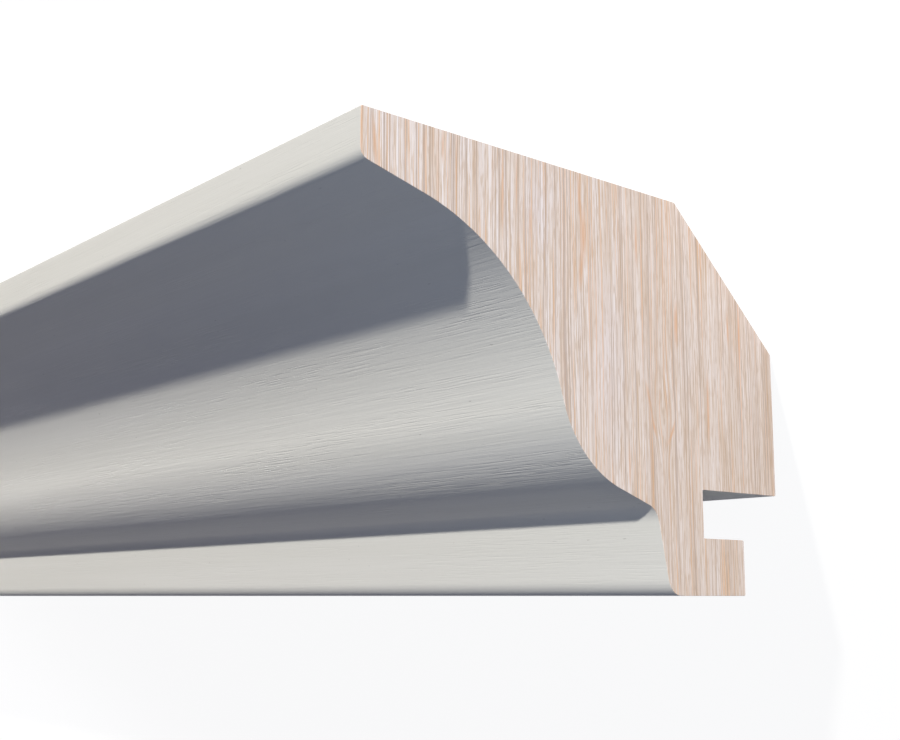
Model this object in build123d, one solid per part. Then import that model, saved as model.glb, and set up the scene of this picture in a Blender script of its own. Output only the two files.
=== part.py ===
from build123d import *
import os
from math import atan2, cos, radians, sin, tan

# A cornice moulding: one length of timber stock, machined all along to one cyma section.
#
# The section is drawn as the moulding is fitted, above a cabinet or at a ceiling: "front" counts
# from the back face towards the room, and "up" from the foot towards the ceiling. The finished
# length lies on its bevelled back with its show face up, which is how it rests on a bench.
#
# Sizes are in millimetres and slopes in degrees.

# The stock as a whole
length = 2400.0
height = 70.0
projection = 97.5

# Fascia: the upright band at the top of the show face, with a rounded lower lip
fascia_height = 7.65
lip_radius = 1.8

# Soffit: the straight slope behind the lip, which runs into the cove
soffit_depth = 12.0
soffit_slope = 14.5

# Cyma: a hollow cove above turns over into a round bulge, which runs into a straight underside
bulge_radius = 20.2
underside_length = 9.9
underside_slope = 18.5

# Plinth: the narrow band at the bottom of the show face, which leans back towards the foot
foot_front = 31.0
plinth_height = 14.5
plinth_lean = 12.5
quirk_radius = 2.2
foot_radius = 3.2

# Back: a tongue at the foot, a groove above it, a flat back and a wide bevel
tongue_setback = 10.4
tongue_height = 10.0
groove_height = 8.5
groove_depth = 21.8
bevel_depth = 27.5
bevel_height = 24.5


def along(slope):
    """Unit vector that rises towards the front at this slope."""
    return Vector(cos(radians(slope)), sin(radians(slope)))


def square_to(slope):
    """Unit vector at right angles to a slope, pointing up and back into the timber."""
    return Vector(-sin(radians(slope)), cos(radians(slope)))


def cove_arc_centre(cove_top, bulge_centre):
    """Centre of the arc that leaves the soffit at a tangent and just touches the bulge."""
    to_top = cove_top - bulge_centre
    gap = to_top.dot(to_top) - bulge_radius**2
    radius = gap / 2 / (bulge_radius + to_top.dot(square_to(soffit_slope)))
    return cove_top - square_to(soffit_slope) * radius


def rounded(section, corner, radius):
    """The section with the corner at this point rounded off or filled in."""
    return fillet(section.vertices().sort_by_distance(corner)[0], radius)


def moulding_section():
    """The cross-section, in front and up coordinates."""
    # Corners of the show face, as if they were sharp
    foot = Vector(foot_front, 0)
    quirk = Vector(foot_front + plinth_height * tan(radians(plinth_lean)), plinth_height)
    lip = Vector(projection, height - fascia_height)

    # Bulge and cove: each leaves its straight neighbour at a tangent, and they touch at the turn
    bulge_low = quirk + along(underside_slope) * underside_length
    bulge_centre = bulge_low + square_to(underside_slope) * bulge_radius
    cove_top = lip - along(soffit_slope) * (soffit_depth / cos(radians(soffit_slope)))
    cove_centre = cove_arc_centre(cove_top, bulge_centre)
    turn = bulge_centre + (cove_centre - bulge_centre).normalized() * bulge_radius

    groove_roof = tongue_height + groove_height
    outline = [
        Polyline((tongue_setback, 0), foot, quirk, bulge_low),
        TangentArc(bulge_low, turn, tangent=along(underside_slope)),
        TangentArc(cove_top, turn, tangent=-along(soffit_slope)),
        Polyline(
            cove_top,
            lip,
            (projection, height),
            (bevel_depth, height),
            (0, height - bevel_height),
            (0, groove_roof),
            (groove_depth, groove_roof),
            (groove_depth, tongue_height),
            (tongue_setback, tongue_height),
            (tongue_setback, 0),
        ),
    ]
    section = make_face(outline)
    section = rounded(section, lip, lip_radius)
    section = rounded(section, quirk, quirk_radius)
    return rounded(section, foot, foot_radius)


def lying_plane():
    """Plane of the near end, turned so that the middle of the bevel is at the origin, facing down."""
    rest = atan2(bevel_height, bevel_depth)
    near_end = Plane((length / 2, 0, 0), x_dir=(0, cos(rest), sin(rest)), z_dir=(-1, 0, 0))
    bevel_middle = Vector(bevel_depth / 2, height - bevel_height / 2)
    return Plane(near_end.from_local_coords(-bevel_middle), near_end.x_dir, near_end.z_dir)


moulding = extrude(lying_plane() * moulding_section(), length, dir=(-1, 0, 0))
moulding.label = "cornice_moulding"

os.makedirs("parts", exist_ok=True)
export_step(moulding, f"parts/{moulding.label}.step")
print("section", round(moulding.volume / length, 1), "mm2, volume", round(moulding.volume), "mm3")
print("box", moulding.bounding_box())
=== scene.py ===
# %% [markdown]
# # A painted cornice moulding
#
# This lesson dresses one length of timber cornice: a long stick of one section, painted light grey
# along its faces and sawn bare at both ends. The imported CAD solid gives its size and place. Here the
# same section is drawn again with finer curves, softened corners and a grain that can be felt.

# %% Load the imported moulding
import math

import bpy
from mathutils import Matrix, Vector


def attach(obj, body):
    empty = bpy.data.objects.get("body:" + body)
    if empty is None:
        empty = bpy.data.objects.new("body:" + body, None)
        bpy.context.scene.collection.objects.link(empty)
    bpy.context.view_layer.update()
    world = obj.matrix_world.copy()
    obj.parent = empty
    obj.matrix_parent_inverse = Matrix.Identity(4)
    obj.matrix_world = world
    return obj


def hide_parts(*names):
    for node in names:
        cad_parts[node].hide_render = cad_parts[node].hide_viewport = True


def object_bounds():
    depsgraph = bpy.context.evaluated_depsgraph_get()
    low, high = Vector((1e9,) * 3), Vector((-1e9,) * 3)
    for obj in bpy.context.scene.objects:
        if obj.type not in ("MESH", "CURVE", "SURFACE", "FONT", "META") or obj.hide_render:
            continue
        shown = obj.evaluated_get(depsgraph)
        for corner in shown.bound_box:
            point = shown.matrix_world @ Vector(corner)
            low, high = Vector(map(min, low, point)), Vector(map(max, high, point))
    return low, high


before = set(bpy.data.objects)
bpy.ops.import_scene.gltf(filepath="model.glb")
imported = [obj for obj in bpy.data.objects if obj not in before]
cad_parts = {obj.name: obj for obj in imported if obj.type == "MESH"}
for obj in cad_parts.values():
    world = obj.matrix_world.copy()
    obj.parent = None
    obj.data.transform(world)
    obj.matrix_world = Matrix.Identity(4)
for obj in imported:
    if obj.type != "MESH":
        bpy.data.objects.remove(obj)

cad_low, cad_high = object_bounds()
print("CAD box in mm:", [round(1000 * side, 1) for side in cad_high - cad_low])

# %% [markdown]
# ## The sizes of the section
#
# A joiner reads a moulding by its section: "front" counts from the back face towards the room, and
# "up" from the foot towards the ceiling. These are the sizes of the solid, in metres. Slopes and
# leans are angles, so they are turned into radians where they are written. Only the quirk is drawn a
# little rounder than in the solid, as the painted corner looks.

# %% Sizes of the section
MM = 0.001
LENGTH = cad_high.x - cad_low.x
HEIGHT = 70.0 * MM
PROJECTION = 97.5 * MM

FASCIA_HEIGHT = 7.65 * MM
LIP_RADIUS = 1.8 * MM
SOFFIT_DEPTH = 12.0 * MM
SOFFIT_SLOPE = math.radians(14.5)

BULGE_RADIUS = 20.2 * MM
UNDERSIDE_LENGTH = 9.9 * MM
UNDERSIDE_SLOPE = math.radians(18.5)

FOOT_FRONT = 31.0 * MM
PLINTH_HEIGHT = 14.5 * MM
PLINTH_LEAN = math.radians(12.5)
QUIRK_RADIUS = 3.8 * MM
FOOT_RADIUS = 3.2 * MM

TONGUE_SETBACK = 10.4 * MM
TONGUE_HEIGHT = 10.0 * MM
GROOVE_HEIGHT = 8.5 * MM
GROOVE_DEPTH = 21.8 * MM
BEVEL_DEPTH = 27.5 * MM
BEVEL_HEIGHT = 24.5 * MM
print("length, height and projection in mm:", [round(a / MM, 1) for a in (LENGTH, HEIGHT, PROJECTION)])

# %% [markdown]
# ## From the section to the bench
#
# The moulding lies on its bevelled back, so its section is turned by the bevel's own angle. Two unit
# vectors say where "front" and "up" point on the bench, and every point of the section goes through
# them. The X axis runs along the stick, with the end nearest to the viewer at the high side.

# %% Axes of the lying section
REST_ANGLE = math.atan2(BEVEL_HEIGHT, BEVEL_DEPTH)
FRONT = Vector((0, math.cos(REST_ANGLE), math.sin(REST_ANGLE)))
UP = Vector((0, math.sin(REST_ANGLE), -math.cos(REST_ANGLE)))
NEAR = Vector((1, 0, 0))
BEVEL_MIDDLE = (BEVEL_DEPTH / 2, HEIGHT - BEVEL_HEIGHT / 2)


def on_bench(front, up, x=0.0):
    """Place on the bench of a point of the section."""
    return FRONT * (front - BEVEL_MIDDLE[0]) + UP * (up - BEVEL_MIDDLE[1]) + NEAR * x


print("top front edge lies at, in mm:", [round(a / MM, 1) for a in on_bench(PROJECTION, HEIGHT)])

# %% [markdown]
# ## The ogee
#
# The cove and the bulge are two arcs that touch at the turn. The bulge leaves the straight underside
# at a tangent, the cove leaves the soffit at a tangent, and only one cove radius lets the two arcs
# meet smoothly. The same small sum gives it as in a drawing office.

# %% Arcs of the ogee


def section_point(front, up):
    return Vector((front, up))


def slope_direction(slope):
    return Vector((math.cos(slope), math.sin(slope)))


def into_timber(slope):
    return Vector((-math.sin(slope), math.cos(slope)))


foot = section_point(FOOT_FRONT, 0)
quirk = section_point(FOOT_FRONT + PLINTH_HEIGHT * math.tan(PLINTH_LEAN), PLINTH_HEIGHT)
lip = section_point(PROJECTION, HEIGHT - FASCIA_HEIGHT)
bulge_low = quirk + slope_direction(UNDERSIDE_SLOPE) * UNDERSIDE_LENGTH
bulge_centre = bulge_low + into_timber(UNDERSIDE_SLOPE) * BULGE_RADIUS
cove_top = lip - slope_direction(SOFFIT_SLOPE) * (SOFFIT_DEPTH / math.cos(SOFFIT_SLOPE))
to_top = cove_top - bulge_centre
cove_radius = (to_top.length_squared - BULGE_RADIUS**2) / 2
cove_radius /= BULGE_RADIUS + to_top.dot(into_timber(SOFFIT_SLOPE))
cove_centre = cove_top - into_timber(SOFFIT_SLOPE) * cove_radius
turn = bulge_centre + (cove_centre - bulge_centre).normalized() * BULGE_RADIUS
print("cove radius in mm:", round(cove_radius / MM, 2))

# %% [markdown]
# ## A pen made of one vertex
#
# The outline is drawn as by hand: a plane is collapsed to one vertex, and that vertex is pulled along
# the straight runs with Extrude and swung round the curves with Spin. Spin turns the selected vertex
# about a centre and leaves a chain of edges behind, so the curves are true arcs. The short steps leave
# enough points across the face to carry the grain later on.

# %% The pen
STEP = 0.5 * MM
END_EASE = 0.06 * MM
OUTLINE_X = LENGTH / 2 - END_EASE


def start_pen(point):
    """One vertex in edit mode, at this point of the section, near the end that faces the viewer."""
    bpy.ops.object.select_all(action="DESELECT")
    bpy.ops.mesh.primitive_plane_add(size=STEP, location=on_bench(*point, OUTLINE_X))
    bpy.ops.object.transform_apply(location=True, rotation=True, scale=True)
    bpy.ops.object.mode_set(mode="EDIT")
    bpy.ops.mesh.select_all(action="SELECT")
    bpy.ops.mesh.merge(type="CENTER")
    return bpy.context.object


def pull(start, end):
    """Pulls the pen straight from one point of the section to another, in even short steps."""
    steps = max(1, round((end - start).length / STEP))
    stride = (on_bench(*end) - on_bench(*start)) / steps
    for _ in range(steps):
        bpy.ops.mesh.extrude_region_move(TRANSFORM_OT_translate={"value": stride})


def swing(start, centre, end):
    """Swings the pen round a centre from one point of the section to another, the short way."""
    angle = (start - centre).angle_signed(end - centre)
    radius = (start - centre).length
    steps = max(3, round(abs(angle) * radius / STEP))
    bpy.ops.mesh.spin(steps=steps, angle=angle, center=on_bench(*centre, OUTLINE_X), axis=-NEAR)


# %% [markdown]
# ## Corners
#
# Every corner of the real stick is a little soft, because the cutter, the sandpaper and the paint all
# take the edge off. So each corner is a small arc: a wide one at the lip, the quirk and the foot, and
# a hair's breadth at the sharp arrises. The lists below go once round the section.

# %% Corners of the outline
ARRIS = 0.3 * MM
groove_roof = TONGUE_HEIGHT + GROOVE_HEIGHT
show_corners = [(foot, FOOT_RADIUS), (quirk, QUIRK_RADIUS)]
back_corners = [
    (lip, LIP_RADIUS),
    (section_point(PROJECTION, HEIGHT), ARRIS),
    (section_point(BEVEL_DEPTH, HEIGHT), ARRIS),
    (section_point(0, HEIGHT - BEVEL_HEIGHT), ARRIS),
    (section_point(0, groove_roof), ARRIS),
    (section_point(GROOVE_DEPTH, groove_roof), ARRIS),
    (section_point(GROOVE_DEPTH, TONGUE_HEIGHT), ARRIS),
    (section_point(TONGUE_SETBACK, TONGUE_HEIGHT), ARRIS),
    (section_point(TONGUE_SETBACK, 0), ARRIS),
]


def rounding(before, corner, after, radius):
    """Where a rounded corner starts, its centre, and where it ends."""
    back = (before - corner).normalized()
    ahead = (after - corner).normalized()
    half = back.angle(ahead) / 2
    reach = radius / math.tan(half)
    centre = corner + (back + ahead).normalized() * (radius / math.sin(half))
    return corner + back * reach, centre, corner + ahead * reach


def draw_corners(pen, corners, after):
    """Draws straight runs and rounded corners from the pen's place, and returns where it stops."""
    ends = [corner for corner, _ in corners[1:]] + [after]
    for (corner, radius), next_corner in zip(corners, ends):
        arc_start, centre, arc_end = rounding(pen, corner, next_corner, radius)
        pull(pen, arc_start)
        swing(arc_start, centre, arc_end)
        pen = arc_end
    return pen


print("corners to round:", len(show_corners) + len(back_corners))

# %% [markdown]
# ## Drawing the outline
#
# The pen starts in the middle of the foot, goes up the show face, and comes home down the back. Where
# two strokes meet, their doubled points are merged, so that the outline is one closed chain.

# %% Draw the outline
outline_start = (section_point(TONGUE_SETBACK, 0) + foot) / 2
moulding = start_pen(outline_start)
moulding.name = "moulding_length"
pen = draw_corners(outline_start, show_corners, bulge_low)
pull(pen, bulge_low)
swing(bulge_low, bulge_centre, turn)
swing(turn, cove_centre, cove_top)
pen = draw_corners(cove_top, back_corners, outline_start)
pull(pen, outline_start)
bpy.ops.mesh.select_all(action="SELECT")
bpy.ops.mesh.remove_doubles(threshold=0.01 * MM)
bpy.ops.object.mode_set(mode="OBJECT")
print("outline points:", len(moulding.data.vertices), "edges:", len(moulding.data.edges))

# %% [markdown]
# ## From outline to stick
#
# The closed outline is filled and extruded once, over the whole length. Then both sawn ends are inset
# and pushed out by the same hair's breadth, which eases the edge that the saw leaves. The faces are
# turned outwards before that, because the side that Extrude calls outside depends on how the outline
# was drawn.

# %% Fill, extrude and ease the ends


def select_parts(piece, kind, wanted):
    """Leaves the piece in edit mode with only those faces or edges selected that are wanted."""
    bpy.ops.object.mode_set(mode="EDIT")
    bpy.ops.mesh.select_mode(type=kind)
    bpy.ops.mesh.select_all(action="DESELECT")
    bpy.ops.object.mode_set(mode="OBJECT")
    parts = piece.data.polygons if kind == "FACE" else piece.data.edges
    for part in parts:
        part.select = wanted(part)
    bpy.ops.object.mode_set(mode="EDIT")


def is_sawn_end(face):
    return abs(face.normal.x) > 0.9


bpy.ops.object.mode_set(mode="EDIT")
bpy.ops.mesh.edge_face_add()
stick_run = -NEAR * (LENGTH - 2 * END_EASE)
bpy.ops.mesh.extrude_region_move(TRANSFORM_OT_translate={"value": stick_run})
bpy.ops.mesh.select_all(action="SELECT")
bpy.ops.mesh.normals_make_consistent(inside=False)
select_parts(moulding, "FACE", is_sawn_end)
bpy.ops.mesh.inset(thickness=END_EASE, depth=END_EASE)
bpy.ops.object.mode_set(mode="OBJECT")
print("stick faces:", len(moulding.data.polygons), "box:", [round(a / MM, 2) for a in moulding.dimensions])

# %% [markdown]
# ## Fibres on the sawn ends
#
# A saw leaves the timber's layers standing a little proud of each other. Bisect cuts each end face
# into narrow strips that run with the grain, and a few cuts across let the strips wander. The strips
# are moved later by the same relief step as the painted faces.

# %% Cut the ends into strips
STRIP_WIDTH = 0.6 * MM
STRIP_CUT = 6.0 * MM


def cut_ends(axis, low, high, pitch):
    """Bisects both sawn ends with planes square to the axis, between two places along it."""
    cuts = int((high - low) / pitch)
    for index in range(1, cuts):
        place = low + (high - low) * index / cuts
        select_parts(moulding, "FACE", is_sawn_end)
        bpy.ops.mesh.bisect(plane_co=on_bench(0, 0) + axis * place, plane_no=axis)
    return cuts


strips = cut_ends(FRONT, 0, PROJECTION, STRIP_WIDTH)
rows = cut_ends(UP, 0, HEIGHT, STRIP_CUT)
bpy.ops.object.mode_set(mode="OBJECT")
print("strips across the end:", strips, "rows:", rows, "faces:", len(moulding.data.polygons))

# %% [markdown]
# ## Rings along the stick
#
# The relief needs points along the stick too. Subdivide on the long edges alone divides every long
# face into rings of quads and leaves the ends as they are. It takes at most a hundred cuts at a time,
# so the stick is halved first.

# %% Divide the long faces
RING_CUTS = 69


def runs_along(edge):
    ends = [moulding.data.vertices[index].co.x for index in edge.vertices]
    return abs(ends[0] - ends[1]) > LENGTH / 3


for cuts in (1, RING_CUTS):
    select_parts(moulding, "EDGE", runs_along)
    bpy.ops.mesh.subdivide(number_cuts=cuts)
bpy.ops.object.mode_set(mode="OBJECT")
print("rings:", 2 * RING_CUTS + 1, "faces:", len(moulding.data.polygons))

# %% [markdown]
# ## Relief that can be felt
#
# Open-grained timber shows through its paint as fine ridges along the stick. The Displace modifier
# sinks each point by a cloud texture that is stretched along the grain. The texture is read through
# an empty whose scale is the size of one cloud, and everything sinks inwards, so the stick never
# grows out of its solid. The modifiers are applied and the empties removed.

# %% A relief step


def relief(piece, name, group, cloud_size, depth, turned=0.0):
    """Sinks a vertex group by a cloud texture, each cloud of this size along X, Y and Z."""
    clouds = bpy.data.textures.new(name, "CLOUDS")
    clouds.noise_scale = 1.0
    clouds.noise_depth = 1
    bpy.ops.object.empty_add(rotation=(turned, 0, 0), scale=cloud_size)
    ruler = bpy.context.object
    bpy.context.view_layer.update()
    modifier = piece.modifiers.new(name, "DISPLACE")
    modifier.texture = clouds
    modifier.texture_coords = "OBJECT"
    modifier.texture_coords_object = ruler
    modifier.vertex_group = group
    modifier.mid_level = 1.0
    modifier.strength = depth
    bpy.ops.object.select_all(action="DESELECT")
    bpy.context.view_layer.objects.active = piece
    bpy.ops.object.modifier_apply(modifier=name)
    bpy.data.objects.remove(ruler)
    bpy.data.textures.remove(clouds)


# %% Relief on the painted faces and on the ends
RIDGE = (70 * MM, 1.5 * MM, 1.5 * MM)
RIDGE_DEPTH = 0.03 * MM
FIBRE = (5 * MM, 1.3 * MM, 30 * MM)
FIBRE_DEPTH = 0.05 * MM

painted_points = [v.index for v in moulding.data.vertices if abs(v.co.x) < LENGTH / 2 - END_EASE / 2]
rim = set()
for face in moulding.data.polygons:
    if not is_sawn_end(face):
        rim.update(face.vertices)
sawn_points = [v.index for v in moulding.data.vertices if v.index not in rim]
moulding.vertex_groups.new(name="painted").add(painted_points, 1.0, "REPLACE")
moulding.vertex_groups.new(name="sawn").add(sawn_points, 1.0, "REPLACE")
relief(moulding, "ridges", "painted", RIDGE, RIDGE_DEPTH)
relief(moulding, "fibres", "sawn", FIBRE, FIBRE_DEPTH, turned=REST_ANGLE)
print("painted points:", len(painted_points), "sawn points:", len(sawn_points))

# %% Soft shading with crisp arrises
bpy.ops.object.select_all(action="DESELECT")
moulding.select_set(True)
bpy.context.view_layer.objects.active = moulding
bpy.ops.object.shade_smooth_by_angle(angle=math.radians(30))
print("triangles:", sum(len(face.vertices) - 2 for face in moulding.data.polygons))

# %% [markdown]
# ## Nodes in a line or two
#
# Materials are built from nodes. This helper adds one node, sets its plain values, and links any input
# that is given as another node's socket, so that each material below reads from top to bottom.

# %% Helpers for nodes


def add_node(tree, kind, inputs=None, **settings):
    made = tree.nodes.new(kind)
    for name, value in settings.items():
        setattr(made, name, value)
    for name, value in (inputs or {}).items():
        if isinstance(value, bpy.types.NodeSocket):
            tree.links.new(value, made.inputs[name])
        else:
            made.inputs[name].default_value = value
    return made


def add_math(tree, operation, *values):
    return add_node(tree, "ShaderNodeMath", dict(enumerate(values)), operation=operation).outputs[0]


def remap(tree, value, low, high, to_low=0.0, to_high=1.0):
    inputs = {"Value": value, "From Min": low, "From Max": high, "To Min": to_low, "To Max": to_high}
    return add_node(tree, "ShaderNodeMapRange", inputs, clamp=True).outputs["Result"]


def mix_colour(tree, amount, first, second, blend="MIX"):
    inputs = {0: amount, 6: first, 7: second}
    return add_node(tree, "ShaderNodeMix", inputs, data_type="RGBA", blend_type=blend).outputs[2]


# %% [markdown]
# Both finishes are patterns that follow the stick, so they read its own Object coordinates. Noise is
# stretched by dividing each axis by the size that a grain should have along it. An oval around a point
# is the same trick, read as a distance. What is laid out in the section, such as the lines of the end
# grain, reads the coordinates after they are turned back from the bench to "front" and "up".

# %% Helpers for patterns


def new_material(name):
    """A fresh node material, with its tree, its shader and the piece's own coordinates."""
    material = bpy.data.materials.new(name)
    material.use_nodes = True
    tree = material.node_tree
    tree.nodes.clear()
    place = add_node(tree, "ShaderNodeTexCoord").outputs["Object"]
    shader = add_node(tree, "ShaderNodeBsdfPrincipled")
    output = add_node(tree, "ShaderNodeOutputMaterial")
    tree.links.new(shader.outputs["BSDF"], output.inputs["Surface"])
    return material, tree, shader, place


def stretched_noise(tree, place, size, detail=2.0, roughness=0.5):
    """Noise whose grains have this size along X, Y and Z."""
    scale = [1 / side for side in size]
    mapped = add_node(tree, "ShaderNodeMapping", {"Vector": place, "Scale": scale})
    inputs = {"Vector": mapped.outputs["Vector"], "Scale": 1.0, "Detail": detail, "Roughness": roughness}
    return add_node(tree, "ShaderNodeTexNoise", inputs).outputs["Fac"]


def oval_around(tree, place, middle, size, lean=0.0):
    """Coordinates in which a leaning oval is a ball of radius one, and the distance from its middle."""
    oval = {"Vector": place, "Location": middle, "Rotation": (lean, 0, 0), "Scale": size}
    around = add_node(tree, "ShaderNodeMapping", oval, vector_type="TEXTURE").outputs[0]
    away = add_node(tree, "ShaderNodeVectorMath", {0: around}, operation="LENGTH").outputs["Value"]
    return around, away


def turned_to_section(tree, place):
    """Coordinates whose Y is front and whose Z is down the section, counted from the bevel's middle."""
    inputs = {"Vector": place, "Rotation": (-REST_ANGLE, 0, 0)}
    return add_node(tree, "ShaderNodeMapping", inputs).outputs[0]


# %% [markdown]
# ## Light grey paint over open grain
#
# The paint is a warm light grey with hardly any sheen. Up close it is not even: the grain below leaves
# long fine lines, and here and there an open pore stays dark. These are too fine for the mesh, so they
# are a bump. The grooves come and go in patches and are deepest in one open patch of the cove, close
# to the near end. The plinth was planed smoothest, and the bulge shows its lines most.

# %% Relief of the paint
OPEN_PATCH = on_bench(65 * MM, 46 * MM, LENGTH / 2 - 10 * MM)
OPEN_PATCH_SIZE = (26 * MM, 6 * MM, 6 * MM)
PLINTH_TO_BULGE = (35 * MM - BEVEL_MIDDLE[0], 43 * MM - BEVEL_MIDDLE[0])
BULGE_TO_COVE = (52 * MM - BEVEL_MIDDLE[0], 60 * MM - BEVEL_MIDDLE[0])


def open_grain(tree, place):
    """Grooves between the fibres: faint in most places, deeper in patches."""
    grooves = stretched_noise(tree, place, (9 * MM, 0.26 * MM, 0.26 * MM), 1.0)
    patches = stretched_noise(tree, place, (50 * MM, 6 * MM, 6 * MM), 1.0)
    _, away = oval_around(tree, place, OPEN_PATCH, OPEN_PATCH_SIZE)
    worn = remap(tree, patches, 0.40, 0.62, -0.1, -0.7)
    deepest = add_math(tree, "MINIMUM", worn, remap(tree, away, 0.3, 1.0, -0.9, 0.0))
    return add_math(tree, "MULTIPLY", remap(tree, grooves, 0.52, 0.70), deepest)


def planing(tree, place):
    """Strength of the relief across the show face."""
    front = add_node(tree, "ShaderNodeSeparateXYZ", {"Vector": turned_to_section(tree, place)}).outputs["Y"]
    rising = remap(tree, front, *PLINTH_TO_BULGE, 0.31, 1.0)
    falling = remap(tree, front, *BULGE_TO_COVE, 1.0, 0.62)
    return add_math(tree, "MINIMUM", rising, falling)


print("open patch at, in mm:", [round(a / MM, 1) for a in OPEN_PATCH])

# %% Paint
PAINT = (0.70, 0.69, 0.665, 1)
PAINT_THIN = (0.66, 0.65, 0.62, 1)
PORE_TINT = (0.36, 0.35, 0.34, 1)
PAINT_RELIEF = 0.074 * MM


def make_paint():
    paint, tree, shader, place = new_material("grey_paint")
    fine = stretched_noise(tree, place, (9 * MM, 0.22 * MM, 0.22 * MM), 2.0, 0.6)
    streaks = stretched_noise(tree, place, (26 * MM, 0.75 * MM, 0.75 * MM), 1.0)
    broad = stretched_noise(tree, place, (220 * MM, 9 * MM, 9 * MM))
    pores = stretched_noise(tree, place, (1.4 * MM, 0.55 * MM, 0.55 * MM), 0.0)
    pore = remap(tree, pores, 0.85, 0.93, 0.0, 0.45)
    tone = mix_colour(tree, remap(tree, broad, 0.35, 0.75), PAINT, PAINT_THIN)
    tree.links.new(mix_colour(tree, pore, tone, PORE_TINT), shader.inputs["Base Color"])
    tree.links.new(remap(tree, fine, 0.3, 0.7, 0.60, 0.72), shader.inputs["Roughness"])
    shader.inputs["Specular IOR Level"].default_value = 0.15
    height = add_math(tree, "ADD", open_grain(tree, place), streaks)
    height = add_math(tree, "MULTIPLY_ADD", fine, 0.4, height)
    height = add_math(tree, "SUBTRACT", height, pore)
    lines = {"Height": height, "Strength": planing(tree, place), "Distance": PAINT_RELIEF}
    bump = add_node(tree, "ShaderNodeBump", lines)
    tree.links.new(bump.outputs["Normal"], shader.inputs["Normal"])
    return paint


moulding.data.materials.append(make_paint())
print("paint nodes:", len(moulding.data.materials[0].node_tree.nodes))

# %% [markdown]
# ## Bare timber on the sawn ends
#
# The ends are pale timber with straight grain. Fine lines of lilac white, cream and tan lie side by
# side, with a warm orange streak now and then. Noise draws the many fine lines, but the streaks that
# give this end its character are listed one by one, each as a narrow oval: front, up, half width and
# half length in millimetres, and its lean in degrees.

# %% Streaks listed one by one
STREAKS = [
    (97.4, 66.5, 0.45, 7.0, 0),
    (95.0, 65.0, 0.45, 5.0, 6),
    (85.6, 67.0, 0.25, 3.0, 0),
    (82.0, 67.5, 0.25, 3.5, 0),
    (79.3, 64.0, 0.22, 8.0, 0),
    (69.7, 63.5, 0.30, 9.0, 0),
    (66.6, 64.5, 0.22, 6.0, 0),
    (63.8, 59.0, 0.25, 4.0, 0),
    (52.0, 65.5, 0.45, 5.5, 4),
    (51.2, 59.5, 0.85, 6.0, 0),
    (51.8, 53.5, 0.60, 4.5, -4),
    (38.0, 60.5, 0.40, 5.0, 0),
    (41.0, 21.5, 0.35, 5.0, 0),
    (27.9, 47.5, 0.70, 5.0, 0),
    (19.7, 33.0, 0.40, 8.0, 0),
    (13.0, 48.5, 0.40, 4.0, 0),
    (9.5, 47.5, 0.50, 7.0, -1),
    (34.9, 32.5, 0.55, 5.0, 18),
    (30.1, 28.1, 0.50, 3.4, -28),
    (33.8, 28.8, 0.55, 2.4, 20),
]
LILAC_PATCHES = [(46.5, 38.0, 5.5, 20.0), (62.0, 62.0, 4.0, 9.0)]


def soft_spot(tree, place, front, up, half_width, half_length, lean=0):
    """Coordinates around a point of the end face, and one there that fades to zero at an oval."""
    middle = (0, front * MM - BEVEL_MIDDLE[0], BEVEL_MIDDLE[1] - up * MM)
    size = (1000, half_width * MM, half_length * MM)
    around, away = oval_around(tree, place, middle, size, math.radians(lean))
    return around, remap(tree, away, 1.0, 0.2)


def lay_spots(tree, tone, place, spots, most, colour):
    for spot in spots:
        _, amount = soft_spot(tree, place, *spot)
        tone = mix_colour(tree, remap(tree, amount, 0.0, 1.0, 0.0, most), tone, colour)
    return tone


print("streaks:", len(STREAKS), "lilac patches:", len(LILAC_PATCHES))

# %% [markdown]
# Straight grain is never quite straight. A slow wobble pushes the lines a little aside, and above the
# foot they part around a small flame. Both are added to the coordinates before any line is drawn, so
# all the lines swerve together.

# %% Grain that wanders
WOBBLE = 0.35 * MM
FLAME = (32.0, 31.0, 3.4, 9.0)
FLAME_PUSH = 2.2 * MM


def wandering_grain(tree, turned):
    """The section's coordinates, pushed aside by the wobble and the flame."""
    bend = stretched_noise(tree, turned, (30 * MM, 9 * MM, 40 * MM), 1.0)
    aside = remap(tree, bend, 0.2, 0.8, -WOBBLE, WOBBLE)
    around, flame = soft_spot(tree, turned, *FLAME)
    across = add_node(tree, "ShaderNodeSeparateXYZ", {"Vector": around}).outputs["Y"]
    parting = add_math(tree, "MULTIPLY", across, flame)
    aside = add_math(tree, "MULTIPLY_ADD", parting, -FLAME_PUSH, aside)
    aside = add_node(tree, "ShaderNodeCombineXYZ", {"Y": aside}).outputs[0]
    return add_node(tree, "ShaderNodeVectorMath", {0: turned, 1: aside}, operation="ADD").outputs[0]


# %% [markdown]
# The colour is laid in thin coats. A ramp over the finest noise gives the layers of the timber, then
# come broad tan bands, pale lines, lilac patches, short tan strokes, orange lines and streaks, and dark
# hairs last. A painted shade darkens the end a little from the fascia down to the tongue, where less
# light falls.

# %% Timber colours
LAYERS = [
    (0.36, (0.86, 0.80, 0.80, 1)),
    (0.47, (0.825, 0.74, 0.715, 1)),
    (0.56, (0.77, 0.665, 0.60, 1)),
    (0.68, (0.62, 0.46, 0.345, 1)),
]
TIMBER_PALE = (0.81, 0.75, 0.74, 1)
TIMBER_LILAC = (0.83, 0.77, 0.80, 1)
TIMBER_TAN = (0.57, 0.42, 0.315, 1)
TIMBER_ORANGE = (0.73, 0.44, 0.25, 1)
TIMBER_STREAK = (0.70, 0.42, 0.26, 1)
TIMBER_BROWN = (0.45, 0.335, 0.27, 1)
# Painted shade: the colour that darkens the end towards the back and the foot, where less light falls.
TIMBER_PAINTED_SHADE = (0.875, 0.835, 0.785, 1)


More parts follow.
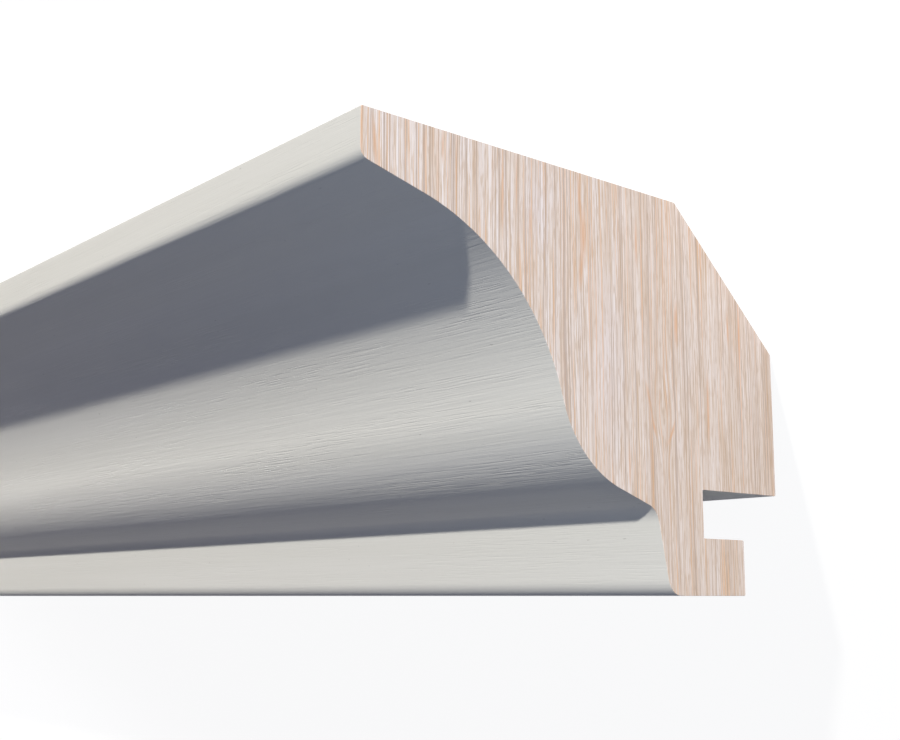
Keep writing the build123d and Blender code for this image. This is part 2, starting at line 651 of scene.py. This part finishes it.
def add_ramp(tree, value, stops):
    ramp = add_node(tree, "ShaderNodeValToRGB", {"Fac": value})
    for place, colour in stops[1:-1]:
        ramp.color_ramp.elements.new(place).color = colour
    for index in (0, -1):
        ramp.color_ramp.elements[index].position, ramp.color_ramp.elements[index].color = stops[index]
    return ramp.outputs["Color"]


# %% Timber


def make_timber():
    timber, tree, shader, place = new_material("bare_timber")
    turned = turned_to_section(tree, place)
    grain = wandering_grain(tree, turned)
    layers = stretched_noise(tree, grain, (9 * MM, 0.26 * MM, 16 * MM), 2.0, 0.7)
    bands = stretched_noise(tree, grain, (20 * MM, 3.0 * MM, 60 * MM), 2.0)
    pale = stretched_noise(tree, grain, (8 * MM, 0.35 * MM, 50 * MM), 1.0)
    strokes = stretched_noise(tree, grain, (7 * MM, 0.22 * MM, 3 * MM), 1.0, 0.6)
    warm = stretched_noise(tree, grain, (9 * MM, 0.33 * MM, 30 * MM), 0.0)
    hairs = stretched_noise(tree, grain, (7 * MM, 0.26 * MM, 80 * MM), 1.0, 0.6)
    # The direction of the painted shade: the end is lighter towards the front and the top of the section.
    towards_light = {0: turned, 1: (0, 0.8, -0.6)}
    towards_light = add_node(tree, "ShaderNodeVectorMath", towards_light, operation="DOT_PRODUCT").outputs["Value"]
    tone = add_ramp(tree, layers, LAYERS)
    tone = mix_colour(tree, remap(tree, bands, 0.46, 0.72, 0.0, 0.45), tone, TIMBER_TAN)
    tone = mix_colour(tree, remap(tree, pale, 0.54, 0.68, 0.0, 0.4), tone, TIMBER_PALE)
    tone = lay_spots(tree, tone, grain, LILAC_PATCHES, 0.5, TIMBER_LILAC)
    tone = mix_colour(tree, remap(tree, strokes, 0.52, 0.66, 0.0, 0.55), tone, TIMBER_TAN)
    # Painted shade, darker from the fascia down to the tongue, standing in for light that falls off there.
    tone = mix_colour(tree, remap(tree, towards_light, 70 * MM, -31 * MM), tone, TIMBER_PAINTED_SHADE, "MULTIPLY")
    tone = mix_colour(tree, remap(tree, warm, 0.64, 0.74, 0.0, 0.6), tone, TIMBER_ORANGE)
    tone = lay_spots(tree, tone, grain, STREAKS, 0.8, TIMBER_STREAK)
    tone = mix_colour(tree, remap(tree, hairs, 0.55, 0.64, 0.0, 0.7), tone, TIMBER_BROWN)
    tree.links.new(tone, shader.inputs["Base Color"])
    shader.inputs["Roughness"].default_value = 0.75
    shader.inputs["Specular IOR Level"].default_value = 0.2
    bump = add_node(tree, "ShaderNodeBump", {"Height": strokes, "Strength": 0.6, "Distance": 0.05 * MM})
    tree.links.new(bump.outputs["Normal"], shader.inputs["Normal"])
    return timber


moulding.data.materials.append(make_timber())
print("timber nodes:", len(moulding.data.materials[1].node_tree.nodes))

# %% Leave the ends bare
select_parts(moulding, "FACE", lambda face: abs(face.normal.x) > 0.5)
moulding.active_material_index = 1
bpy.ops.object.material_slot_assign()
bpy.ops.object.mode_set(mode="OBJECT")
print("bare faces:", sum(face.material_index for face in moulding.data.polygons))

# %% [markdown]
# ## A white floor
#
# The stick lies on a plain white floor. To the camera the floor is nearly white by itself and keeps
# only a light share of the shadow. To all other rays it is a plain pale surface, so it returns no
# more light to the stick than a real floor would.

# %% Floor
FLOOR_SIZE = 40.0
FLOOR_GLOW = 0.92
FLOOR_SHOWN = (0.20, 0.20, 0.20, 1)
FLOOR_PALE = (0.80, 0.80, 0.80, 1)


def seen_directly(tree):
    """One where a ray comes straight from the camera, or from it by gloss or glass."""
    path = add_node(tree, "ShaderNodeLightPath").outputs
    either = add_math(tree, "MAXIMUM", path["Is Camera Ray"], path["Is Glossy Ray"])
    return add_math(tree, "MAXIMUM", either, path["Is Transmission Ray"])


def make_floor_material():
    material = bpy.data.materials.new("white_floor")
    material.use_nodes = True
    tree = material.node_tree
    tree.nodes.clear()
    glow = add_node(tree, "ShaderNodeEmission", {"Strength": FLOOR_GLOW}).outputs[0]
    shadow_share = add_node(tree, "ShaderNodeBsdfDiffuse", {"Color": FLOOR_SHOWN}).outputs[0]
    shown = add_node(tree, "ShaderNodeAddShader", {0: glow, 1: shadow_share}).outputs[0]
    pale = add_node(tree, "ShaderNodeBsdfDiffuse", {"Color": FLOOR_PALE}).outputs[0]
    mixed = add_node(tree, "ShaderNodeMixShader", {0: seen_directly(tree), 1: pale, 2: shown}).outputs[0]
    add_node(tree, "ShaderNodeOutputMaterial", {"Surface": mixed})
    return material


bpy.ops.object.select_all(action="DESELECT")
bpy.ops.mesh.primitive_plane_add(size=FLOOR_SIZE, location=(0, 0, cad_low.z))
floor = bpy.context.object
floor.name = "floor"
floor.data.materials.append(make_floor_material())
print("floor at, in mm:", round(floor.location.z / MM, 2))

# %% [markdown]
# ## Studio light
#
# The main lamp is a far one in front of the moulding and a little above it, towards the near end. It is
# small enough to let the lip throw a clear shadow into the cove. Two more far lamps face the sawn ends
# almost squarely, so they hardly touch the long faces.

# %% Far lamps
MAIN_FROM = FRONT * 0.8480 + UP * 0.4104 + NEAR * 0.372
MAIN_STRENGTH = 1.02 * math.pi
MAIN_COLOUR = (1.0, 0.975, 0.89)
MAIN_ANGLE = math.radians(2.0)
NEAR_END_STRENGTH = 0.36 * math.pi
FAR_END_STRENGTH = 0.80 * math.pi
END_ANGLE = math.radians(1)
END_RISE = Vector((0, 0, 0.012))


def add_lamp(kind, name, place, comes_from, strength, colour=(1, 1, 1)):
    bpy.ops.object.light_add(type=kind, location=place)
    lamp = bpy.context.object
    lamp.name = name
    lamp.rotation_euler = comes_from.to_track_quat("Z", "Y").to_euler()
    lamp.data.energy = strength
    lamp.data.color = colour
    return lamp


def add_sun(name, comes_from, strength, angle, colour=(1, 1, 1)):
    lamp = add_lamp("SUN", name, comes_from.normalized() * 3, comes_from, strength, colour)
    lamp.data.angle = angle


add_sun("main_lamp", MAIN_FROM, MAIN_STRENGTH, MAIN_ANGLE, MAIN_COLOUR)
add_sun("near_end_lamp", END_RISE + NEAR, NEAR_END_STRENGTH, END_ANGLE)
add_sun("far_end_lamp", END_RISE - NEAR, FAR_END_STRENGTH, END_ANGLE)
print("main lamp comes from:", [round(a, 3) for a in MAIN_FROM])

# %% [markdown]
# Shade is never black. A small bluish lamp beside the viewer lifts the shaded cove near the end, and a
# wide panel behind the stick lights the back. The panel's beam is narrow and stops short of the near
# end, where the cove stays in shade. Neither lamp is seen by the camera.

# %% Soft lamps
FILL_AT = on_bench(200 * MM, -60 * MM, LENGTH / 2 + 140 * MM)
FILL_TO = on_bench(60 * MM, 45 * MM, LENGTH / 2)
FILL_SIZE = 80 * MM
FILL_WATTS = 0.088
FILL_COLOUR = (0.665, 0.84, 1.0)
BACK_AT = Vector((-0.51, -2.0, 0.85))
BACK_TO = Vector((-0.51, 0, 0.02))
BACK_SIZE = (2.36, 0.5)
BACK_BEAM = math.radians(10)
BACK_WATTS = 2.1

fill_lamp = add_lamp("AREA", "fill_lamp", FILL_AT, FILL_AT - FILL_TO, FILL_WATTS, FILL_COLOUR)
fill_lamp.data.shape = "DISK"
fill_lamp.data.size = FILL_SIZE
fill_lamp.visible_camera = False

back_lamp = add_lamp("AREA", "back_lamp", BACK_AT, BACK_AT - BACK_TO, BACK_WATTS)
back_lamp.data.shape = "RECTANGLE"
back_lamp.data.size, back_lamp.data.size_y = BACK_SIZE
back_lamp.data.spread = BACK_BEAM
back_lamp.visible_camera = False
back_lamp.visible_glossy = False
print("beam behind ends at x, in mm:", round((BACK_AT.x + BACK_SIZE[0] / 2) / MM))

# %% [markdown]
# The sky is dim and cool for the light that it gives, and plain white where it is looked at. The
# picture keeps Blender's Standard view, so that a colour is shown as it is written.

# %% Sky
SKY_COLOUR = (0.86, 0.88, 1.30, 1)
SKY_STRENGTH = 0.10

world = bpy.data.worlds.new("studio")
bpy.context.scene.world = world
world.use_nodes = True
sky = world.node_tree
sky.nodes.clear()
dim = add_node(sky, "ShaderNodeBackground", {"Color": SKY_COLOUR, "Strength": SKY_STRENGTH}).outputs[0]
white = add_node(sky, "ShaderNodeBackground", {"Color": (1, 1, 1, 1), "Strength": 1.0}).outputs[0]
both = add_node(sky, "ShaderNodeMixShader", {0: seen_directly(sky), 1: dim, 2: white}).outputs[0]
add_node(sky, "ShaderNodeOutputWorld", {"Surface": both})
bpy.context.scene.view_settings.view_transform = "Standard"

# %% [markdown]
# ## The camera
#
# The viewer stands close to the near end, in front of the fascia and level with the foot, and looks a
# little upwards, as the moulding is fitted. So the camera is set in the section's own axes: "up" in
# the picture is "up" on the moulding, although the stick itself lies on its back.

# %% Camera
EYE_FRONT = 199.3 * MM
EYE_BEYOND_END = 138.4 * MM
TURN_IN = math.radians(40.615)
TILT_UP = math.radians(8.853)
LENS_MM = 50.0
PICTURE_SHIFT = 31.3 / 900

level_view = -FRONT * math.sin(TURN_IN) - NEAR * math.cos(TURN_IN)
view_direction = level_view * math.cos(TILT_UP) + UP * math.sin(TILT_UP)
picture_up = UP * math.cos(TILT_UP) - level_view * math.sin(TILT_UP)
picture_right = view_direction.cross(picture_up)
bpy.ops.object.camera_add(location=on_bench(EYE_FRONT, 0, LENGTH / 2 + EYE_BEYOND_END))
camera = bpy.context.object
camera.name = "viewer"
camera.rotation_euler = Matrix((picture_right, picture_up, -view_direction)).transposed().to_euler()
camera.data.lens = LENS_MM
camera.data.shift_y = PICTURE_SHIFT
camera.data.clip_start = 0.01
bpy.context.scene.camera = camera
print("camera at, in mm:", [round(a / MM, 1) for a in camera.location])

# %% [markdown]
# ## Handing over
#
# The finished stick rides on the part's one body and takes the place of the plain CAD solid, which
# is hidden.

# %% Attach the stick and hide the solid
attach(moulding, "root")
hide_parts("cornice_moulding")
